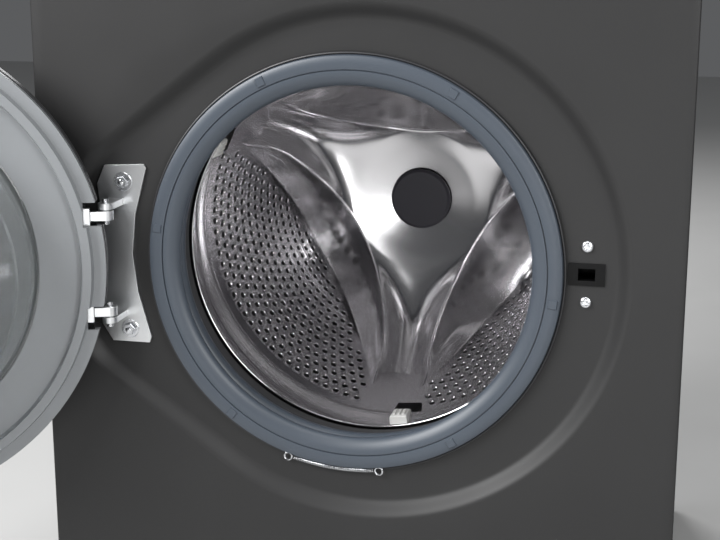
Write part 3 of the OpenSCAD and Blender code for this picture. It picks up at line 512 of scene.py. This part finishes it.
def scoop_y(r, delta):
    """The scoop's surface: from the lobe's edge back to the wall, sagging between them."""
    edge_r, wall_y = crest_r(delta), wall_back(delta)
    end_r = wall_r(wall_y)
    t = min(1.0, max(0.0, (r - edge_r) / max(end_r - edge_r, 1e-6)))
    edge_y = crest_y(edge_r)
    sag = 15.0 * step(end_r - edge_r, 8, 50)
    return edge_y + (wall_y - edge_y) * t + sag * math.sin(math.pi * min(1, t)) ** 0.9


def back_y(r, degrees):
    """The pressed back's surface, with a raised ridge along each lobe's edge."""
    delta = off_lobe(degrees)
    gap = crest_gap(r, delta)
    y = arm_y(r, delta) if gap <= 0 else scoop_y(r, delta)
    ridge = 8.0 * step(r, 82, 125) * (1 - 0.4 * step(r, 165, 192))
    return y - ridge * math.exp(-(gap / 10.0) ** 2)


def build_drum_back():
    out_count = 130
    columns = []
    for k in range(540):
        degrees = 360.0 * k / 540
        rim = wall_r(wall_back(off_lobe(degrees))) + 1.2
        radii = [DISC_R + (rim - DISC_R) * i / out_count for i in range(out_count + 1)]
        columns.append([around(r, back_y(r, degrees), math.radians(degrees)) for r in radii])
    verts, faces = skin(columns)
    obj = piece("drum_back_pressed", verts, faces, "drum_steel", "drum", sharp=75)
    soften = obj.modifiers.new("soften", "SMOOTH")
    soften.factor = 0.5
    soften.iterations = 14
    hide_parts("drum_back")


# The rim's rolled lip and its beads as (radius, y), from the mouth to the wall.
RIM_KNOTS = [(177.2, -206.5), (177.0, -208.4), (178.6, -208.6), (181.2, -203), (188.0, -197), (196.0, -190),
             (200.5, -181), (200.0, -172), (195.5, -164), (195.0, -158), (200.0, -150), (201.6, -141),
             (199.5, -132), (194.5, -124), (194.0, -117), (198.6, -109), (202.4, -103), (203.0, -100)]
ROUND_COUNT, ROW_COUNT = 104, 16
CELL_SIDE = 4
# One hole's rings as (radius, distance in from the wall), from its dimple's edge to its throat.
HOLE_RINGS = ((5.0, 0.0), (4.4, 0.35), (3.7, 0.5), (3.1, 0.1), (2.85, -0.4), (2.8, -0.8))
HOLE_STRETCH = 1.18


def curved(knots, steps=5):
    """The knots joined by a smooth curve through them."""
    points = []
    for i in range(len(knots) - 1):
        four = knots[max(0, i - 1)], knots[i], knots[i + 1], knots[min(len(knots) - 1, i + 2)]
        for k in range(steps):
            t = k / steps
            points.append(tuple(
                0.5 * (2 * b + (c - a) * t + (2 * a - 5 * b + 4 * c - d) * t * t
                       + (3 * b - a - 3 * c + d) * t ** 3) for a, b, c, d in zip(*four)))
    return points + [knots[-1]]


def cell_outline():
    """Points round a unit square, CELL_SIDE to each side."""
    side = [-0.5 + i / CELL_SIDE for i in range(CELL_SIDE)]
    return ([(u, -0.5) for u in side] + [(0.5, v) for v in side]
            + [(-u, 0.5) for u in side] + [(-0.5, -v) for v in side])


def on_wall(angle, y, inward=0.0):
    return around(wall_r(y) - inward, y, angle)


def wall_cell(angle, y, pitch, height, pierced):
    """One cell of the wall, either plain or with a dimpled hole in it."""
    outline = cell_outline()
    n = len(outline)
    verts = [on_wall(angle + u * pitch, y + v * height) for u, v in outline]
    if not pierced:
        return verts + [on_wall(angle, y)], [(i, (i + 1) % n, n) for i in range(n)]
    radius = wall_r(y)
    for r, inward in HOLE_RINGS:
        for u, v in outline:
            w = math.atan2(v * height, u * pitch * radius)
            deep = y + HOLE_STRETCH * r * math.sin(w)
            verts.append(on_wall(angle + r * math.cos(w) / radius, deep, inward))
    faces = []
    for ring in range(len(HOLE_RINGS)):
        first, second = ring * n, (ring + 1) * n
        faces += [(first + i, first + (i + 1) % n, second + (i + 1) % n, second + i) for i in range(n)]
    return verts, faces


def build_drum_wall():
    parts = [turned(curved(RIM_KNOTS), 312, closed=False)]
    pitch = 2 * math.pi / ROUND_COUNT
    height = (WALL_BACK - WALL_FRONT) / ROW_COUNT
    for row in range(ROW_COUNT):
        y = WALL_FRONT + (row + 0.5) * height
        for k in range(ROUND_COUNT):
            angle = (k + 0.5 * (row % 2)) * pitch
            delta = off_lobe(math.degrees(angle))
            room = wall_back(delta) - 11
            pierced = abs(delta) < 49.5 and WALL_FRONT + 7 < y < room
            if pierced or y <= room + 45:
                parts.append(wall_cell(angle, y, pitch, height, pierced))
    verts, faces = join(*parts)
    obj = piece("drum_wall_pierced", verts, faces, "drum_steel", "drum", sharp=75)
    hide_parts("drum_shell")


def slab(angle, x0, x1, y0, y1, r0, r1, trim=1.2):
    """A block on the wall from radius r0 to r1, with its inner edges cut back by trim."""
    c, s = math.cos(math.radians(angle)), math.sin(math.radians(angle))

    def put(x, y, r):
        return (r * c - x * s, y, DOOR_Z + r * s + x * c)

    outer = [(x0, y0), (x1, y0), (x1, y1), (x0, y1)]
    inner = [(x0 + trim, y0 + trim), (x1 - trim, y0 + trim), (x1 - trim, y1 - trim), (x0 + trim, y1 - trim)]
    verts = [put(x, y, r1) for x, y in outer] + [put(x, y, r0 + trim) for x, y in outer]
    verts += [put(x, y, r0) for x, y in inner]
    faces = [(0, 1, 2, 3)]
    for low in (0, 4):
        faces += [(low + i, low + (i + 1) % 4, low + 4 + (i + 1) % 4, low + 4 + i) for i in range(4)]
    return verts, faces + [(8, 9, 10, 11)]


def build_drum_vents():
    """Ribbed inserts let in at the arms' front ends; behind each, a black slab is painted shade of a recess.
    """
    inserts, painted_shade_slabs = [], []
    for arm in ARMS:
        angle = arm + 6
        inserts.append(slab(angle, -9, 9, -141, -117, 190, 199))
        inserts += [slab(angle, x - 1.2, x + 1.2, -137, -121, 188.6, 190.5, 0.5) for x in (-5, 0, 5)]
        # A raised black slab on the wall: painted shade standing in for a recess behind the insert.
        painted_shade_slabs.append(slab(angle, -14, 14, -111, -76, 196.5, 203.5, 1.5))
    obj = piece("drum_vent_inserts", *join(*inserts), "white_plastic", "drum")
    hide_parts("drum_vents")
    piece("drum_vent_painted_shade", *join(*painted_shade_slabs), "black_plastic", "drum")


build_drum_back()
build_drum_wall()
build_drum_vents()

# ---- Hinge bolts and pins, lock screws ----

BOLTS = ((-218, 71), (-216, -71))
BOLT_FACE_Y = -281.6
BOLT_FLATS, WASHER_R = 10.0, 9.0
PIN_X, PIN_Y, PIN_R = -226, -306, 2.9
PIN_HALF = 12
HINGE_Z, HINGE_SPREAD = -2, 49
SCREW_R, SCREW_HEIGHT = 5.3, 2.8
SCREW_INSET = 6


def hex_bolt(x, z):
    """A washer, a six-sided head and the small boss on it."""
    y = BOLT_FACE_Y
    washer = [(0.01, y), (WASHER_R, y), (WASHER_R, y - 0.9), (WASHER_R - 0.5, y - 1.4), (0.01, y - 1.4)]
    boss = [(0.01, y - 6.1), (2.6, y - 6.1), (3.0, y - 6.5), (2.4, y - 6.9), (0.01, y - 7.0)]
    corner_r = BOLT_FLATS / math.sqrt(3)
    verts = []
    for r, ring_y in ((corner_r, y - 1.4), (corner_r, y - 5.2), (corner_r * 0.86, y - 6.1)):
        verts += [around(r, ring_y, math.radians(60 * k + 12), x, z) for k in range(6)]
    faces = []
    for first in (0, 6):
        faces += [(first + k, first + (k + 1) % 6, first + 6 + (k + 1) % 6, first + 6 + k)
                  for k in range(6)]
    faces += [tuple(range(12, 18)), tuple(range(5, -1, -1))]
    return join(turned(washer, 40, x, z), (verts, faces), turned(boss, 24, x, z))


def torx_screw(x, z, y):
    """A domed screw with a six-lobed recess."""
    dome = [(1.0, 0.0), (1.0, 0.35), (0.93, 0.62), (0.82, 0.82), (0.7, 0.94), (0.6, 1.0)]
    columns = []
    for a in circle(72):
        lobe = 0.45 * (1 + 0.17 * math.cos(6 * a))
        column = dome + [(lobe + 0.03, 1.0), (lobe, 0.93), (lobe * 0.94, 0.35), (0.01 / SCREW_R, 0.3)]
        columns.append([around(SCREW_R * r, y - SCREW_HEIGHT * h, a, x, z) for r, h in column])
    return skin(columns)


def pin(x, y, z, count=28):
    verts = [(x + PIN_R * math.cos(a), y + PIN_R * math.sin(a), end)
             for end in (z - PIN_HALF, z + PIN_HALF) for a in circle(count)]
    faces = [(k, (k + 1) % count, count + (k + 1) % count, count + k) for k in range(count)]
    return verts, faces + [tuple(range(count))[::-1], tuple(range(count, 2 * count))]


def build_fasteners():
    parts = [hex_bolt(x, DOOR_Z + z) for x, z in BOLTS]
    parts += [pin(PIN_X, PIN_Y, DOOR_Z + HINGE_Z + side * HINGE_SPREAD) for side in (-1, 1)]
    obj = piece("hinge_bolts_hex", *join(*parts), "zinc_bright", "cabinet")
    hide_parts("hinge_fasteners")
    low, high = box_mm("lock_screws")
    middle_x = (low.x + high.x) / 2
    parts = [torx_screw(middle_x, z, FRONT_Y + DISH_DEPTH)
             for z in (low.z + SCREW_INSET, high.z - SCREW_INSET)]
    obj = piece("lock_screws_domed", *join(*parts), "zinc_bright", "cabinet")
    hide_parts("lock_screws")


build_fasteners()

# ---- Suspension springs ----

SPRING_X, SPRING_R, SPRING_WIRE_R = 268.0, 9, 1.7
SPRING_TURNS, SPRING_STEPS = 22, 14


def build_springs():
    low, high = box_mm("suspension_springs")
    y = (low.y + high.y) / 2
    count = SPRING_TURNS * SPRING_STEPS
    parts = []
    for x in (-SPRING_X, SPRING_X):
        points = [(x, y, low.z + 2), (x, y, low.z + 18)]
        for k in range(count + 1):
            t = k / count
            w = 2 * math.pi * k / SPRING_STEPS
            r = SPRING_R * step(t, 0, 0.05) * (1 - step(t, 0.95, 1))
            z = low.z + 24 + (high.z - low.z - 48) * t
            points.append((x + r * math.cos(w), y + r * math.sin(w), z))
        points += [(x, y, high.z - 18), (x, y, high.z - 2)]
        parts.append(tube_along(points, SPRING_WIRE_R, 8))
    obj = piece("suspension_coils", *join(*parts), "zinc_bright")
    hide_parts("suspension_springs")
    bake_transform(obj)


build_springs()

# ---- Hoses inside the cabinet ----

BELLOWS_R, BELLOWS_BORE_R, FOLD_HALF = 19.6, 18.3, 1.0
# Each ribbed hose: (x, y), its ends in z, its folds, and the heights where it leaves cabinet and joins tub.
RIBBED_HOSES = {
    "fill_hose": ((-150, -90), (632, 714), 8, (702, 652)),
    "sump_hose": ((185, -165), (116, 274), 14, (146, 244)),
}
DRAIN_X, DRAIN_R = 241, 12.4
DRAIN_FROM, DRAIN_TO = (-128, 122), (276, 690)
DRAIN_LOW, DRAIN_BACK, DRAIN_BEND = 165, 216, 30
INLET_X, INLET_Z, INLET_R = -200, 780, 9.5


def bellows(x, y, z0, z1, folds):
    steps = folds * 8
    outer, inner = [], []
    for k in range(steps + 1):
        t = k / steps
        fold = FOLD_HALF * (1 - math.cos(2 * math.pi * folds * t)) if 0.06 < t < 0.94 else 0.0
        outer.append((BELLOWS_R + fold, z0 + (z1 - z0) * t))
        inner.append((BELLOWS_BORE_R, z0 + (z1 - z0) * t))
    profile = outer + inner[::-1]
    return skin([[(x + r * math.cos(a), y + r * math.sin(a), z) for r, z in profile] for a in circle(40)],
                closed=True)


def bend(y, z, first, last):
    """A quarter turn of the drain hose round (y, z), between two angles in degrees."""
    angles = [math.radians(first + (last - first) * k / 10) for k in range(11)]
    return [(DRAIN_X, y + DRAIN_BEND * math.cos(a), z + DRAIN_BEND * math.sin(a)) for a in angles]


def drain_path():
    """Up from the pump, back along the side, up again and back to the rear panel."""
    (y0, z0), (y1, z1) = DRAIN_FROM, DRAIN_TO
    path = [(DRAIN_X, y0, z0), (DRAIN_X, y0, DRAIN_LOW - DRAIN_BEND)]
    path += bend(y0 + DRAIN_BEND, DRAIN_LOW - DRAIN_BEND, 180, 90)
    path += bend(DRAIN_BACK - DRAIN_BEND, DRAIN_LOW + DRAIN_BEND, 270, 360)
    path += bend(DRAIN_BACK + DRAIN_BEND, z1 - DRAIN_BEND, 180, 90)
    return path + [(DRAIN_X, y1, z1)]


def build_hoses():
    for name, ((x, y), (z0, z1), folds, (fixed_z, moving_z)) in RIBBED_HOSES.items():
        obj = piece(name, *bellows(x, y, z0, z1, folds), "hose_rubber")
        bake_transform(obj)
        if name == "fill_hose":
            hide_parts("internal_hoses")
    inlet = [(INLET_X, -26 + 268 * k / 6, INLET_Z) for k in range(7)]
    verts, faces = join(tube_along(drain_path(), DRAIN_R, 28), tube_along(inlet, INLET_R, 24))
    piece("drain_and_inlet_hoses", verts, faces, "hose_rubber", "cabinet")


build_hoses()

# ---- Programme knob ----

FLUTES, FLUTE_DEPTH = 40, 0.55
MARK_HALF_ANGLE, MARK_DEPTH = 3.0, 0.9


def build_knob():
    """A fluted knob with a skirt, and a pointer mark let in at its top."""
    low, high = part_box("programme_knob")
    x, z = (low.x + high.x) / 2 / MM, (low.z + high.z) / 2 / MM
    front, back = low.y / MM, high.y / MM
    radius = (high.x - low.x) / 2 / MM
    columns = []
    for a in circle(240):
        grip = radius - 1.6 - FLUTE_DEPTH * (0.5 + 0.5 * math.cos(FLUTES * a))
        marked = abs((math.degrees(a) - 90 + 180) % 360 - 180) < MARK_HALF_ANGLE
        mark_y = front + (MARK_DEPTH if marked else 0.0)
        column = [(0.01, back), (radius, back), (radius, back - 3), (radius - 0.8, back - 3.8),
                  (grip, back - 5), (grip - 0.6, front + 3), (grip - 2.2, front + 0.6), (grip - 4.2, front),
                  (grip - 6, mark_y), (grip - 12, mark_y), (grip - 13, front), (0.01, front)]
        columns.append([around(r, y, a, x, z) for r, y in column])
    obj = piece("programme_knob_fluted", *skin(columns), "trim_silver", "knob")
    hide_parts("programme_knob")


build_knob()

# ---- CAD shapes kept, with their edges rounded ----

ROUNDED_EDGES = {"worktop": 3.0, "control_panel": 1.6, "drawer_front": 1.2, "plinth_panel": 1.2,
                 "hinge_bracket": 0.5, "door_hinge_arms": 0.5, "filter_flap": 0.8, "door_lock": 0.35,
                 "power_button": 0.6, "start_button": 0.6}
for node, width in ROUNDED_EDGES.items():
    refined(node, width)

# ---- Stage: lengths from here on are in metres ----

AZIMUTH, ELEVATION, DISTANCE = math.radians(13.0), math.radians(13.5), 1.300
AIM_Y, AIM_RIGHT, AIM_DOWN = -0.285, 0.0095, 0.0014
FLOOR_HALF = 6


def build_camera():
    data = bpy.data.cameras.new("camera")
    camera = bpy.data.objects.new("camera", data)
    scene.collection.objects.link(camera)
    scene.camera = camera
    cos_az, sin_az = math.cos(AZIMUTH), math.sin(AZIMUTH)
    cos_el, sin_el = math.cos(ELEVATION), math.sin(ELEVATION)
    back = Vector((sin_az * cos_el, -cos_az * cos_el, sin_el))
    right = Vector((cos_az, sin_az, 0))
    up = Vector((-sin_az * sin_el, cos_az * sin_el, cos_el))
    aim = Vector((0, AIM_Y, DOOR_Z * MM)) + right * AIM_RIGHT - up * AIM_DOWN
    camera.location = aim + back * DISTANCE
    camera.rotation_euler = back.to_track_quat("Z", "Y").to_euler()
    data.lens = 71.5
    data.sensor_width = 36.0
    data.clip_end = 50.0


def build_world():
    world = bpy.data.worlds.new("world")
    scene.world = world
    world.use_nodes = True
    sky = world.node_tree.nodes["Background"]
    sky.inputs["Color"].default_value = (0.8, 0.82, 0.85, 1)
    sky.inputs["Strength"].default_value = 0.13


def softbox(name, where, target, size, power):
    data = bpy.data.lights.new(name, "AREA")
    data.shape = "RECTANGLE"
    data.size, data.size_y = size
    data.energy = power
    obj = bpy.data.objects.new(name, data)
    scene.collection.objects.link(obj)
    obj.location = where
    obj.rotation_euler = (Vector(where) - Vector(target)).to_track_quat("Z", "Y").to_euler()


def build_floor():
    mesh = bpy.data.meshes.new("floor")
    corners = [(x * FLOOR_HALF, y * FLOOR_HALF, 0) for x, y in ((-1, -1), (1, -1), (1, 1), (-1, 1))]
    mesh.from_pydata(corners, [], [(0, 1, 2, 3)])
    floor = bpy.data.objects.new("floor", mesh)
    scene.collection.objects.link(floor)
    mesh.materials.append(material("floor_pale", (0.52, 0.52, 0.515), 0.6, 0.0, 0.05, 60, mottle=0.01))


build_camera()
build_world()
softbox("key", (-1.45, -1.5, 1.65), (0, -0.2, 0.45), (1.3, 1.0), 88)
softbox("right_strip", (1.2, -1.3, 1.2), (0, -0.2, 0.45), (0.5, 1.4), 22)
softbox("top", (0.1, -0.8, 2.6), (0, -0.1, 0.5), (1.2, 0.8), 14)
softbox("rear", (-0.9, 2.3, 1.9), (0, 0.2, 0.45), (1.2, 0.9), 40)
softbox("low_fill", (0.35, -2.3, 0.3), (0, -0.1, 0.45), (0.6, 0.35), 5)
build_floor()
